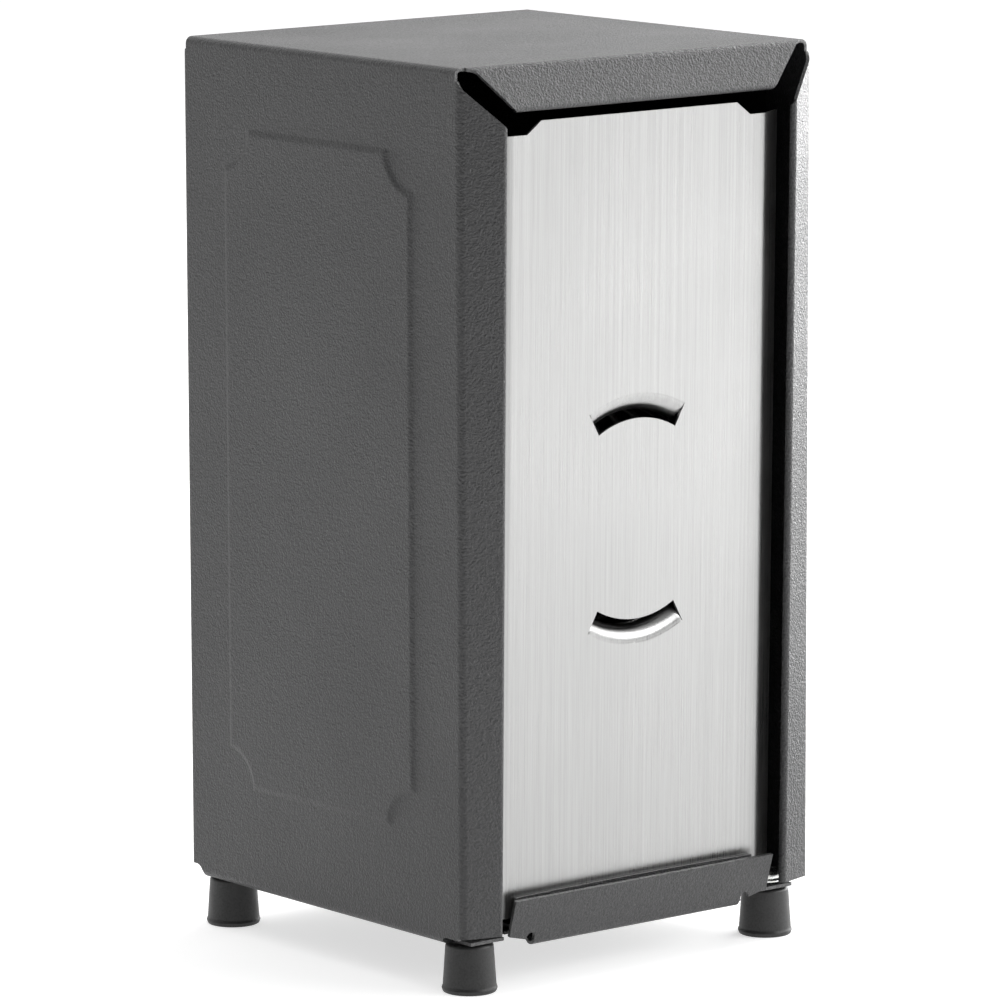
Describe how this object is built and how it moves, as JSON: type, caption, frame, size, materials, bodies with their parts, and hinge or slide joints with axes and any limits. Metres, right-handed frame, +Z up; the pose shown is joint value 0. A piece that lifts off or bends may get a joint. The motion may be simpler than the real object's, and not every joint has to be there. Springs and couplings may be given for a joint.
{
  "type": "napkin dispenser",
  "caption": "Tabletop napkin dispenser: an upright folded-sheet case open at the front, with a spring-loaded brushed faceplate that slides back, a small catch tray and rubber feet.",
  "frame": {"origin": "on the table, under the middle of the overall bounding box", "axes": "+Z up, the long way of the case; the open front with the faceplate faces -Y; +X is to the right of somebody facing that front"},
  "size_m": [0.0952, 0.0984, 0.1905],
  "materials": {
    "black_powder_coat": "fine-textured black powder coat, low sheen",
    "brushed_plate": "brushed stainless steel, grain running up and down",
    "spring_wire": "drawn spring wire, lightly oiled",
    "rivet_steel": "rivets coated with the case, low sheen",
    "foot_rubber": "moulded black rubber, soft sheen",
    "bright_zinc": "bright zinc plate"
  },
  "bodies": {
    "case": {"case_shell": "black_powder_coat", "back_panel": "black_powder_coat", "base_panel": "black_powder_coat", "tray": "black_powder_coat", "napkin_stop": "black_powder_coat", "spring_seat": "black_powder_coat", "spring": "spring_wire", "back_rivet_1": "rivet_steel", "back_rivet_2": "rivet_steel", "back_rivet_3": "rivet_steel", "back_rivet_4": "rivet_steel", "back_rivet_5": "rivet_steel", "back_rivet_6": "rivet_steel", "base_rivet_1": "rivet_steel", "base_rivet_2": "rivet_steel", "base_rivet_3": "rivet_steel", "base_rivet_4": "rivet_steel", "tray_rivet_1": "rivet_steel", "tray_rivet_2": "rivet_steel", "seat_rivet": "rivet_steel", "foot_front_left": "foot_rubber", "foot_front_right": "foot_rubber", "foot_rear_left": "foot_rubber", "foot_rear_right": "foot_rubber", "foot_screw_front_left": "bright_zinc", "foot_washer_front_left": "bright_zinc", "foot_screw_front_right": "bright_zinc", "foot_washer_front_right": "bright_zinc", "foot_screw_rear_left": "bright_zinc", "foot_washer_rear_left": "bright_zinc", "foot_screw_rear_right": "bright_zinc", "foot_washer_rear_right": "bright_zinc"},
    "pusher": {"faceplate": "brushed_plate"}
  },
  "joints": [
    {"name": "pusher_slide", "type": "slide", "parent": "case", "child": "pusher", "axis": [0, 1, 0], "range_m": [0, 0.062], "stiffness_N_per_m": 34, "springref_m": -0.012, "deforming": ["spring"]}
  ]
}
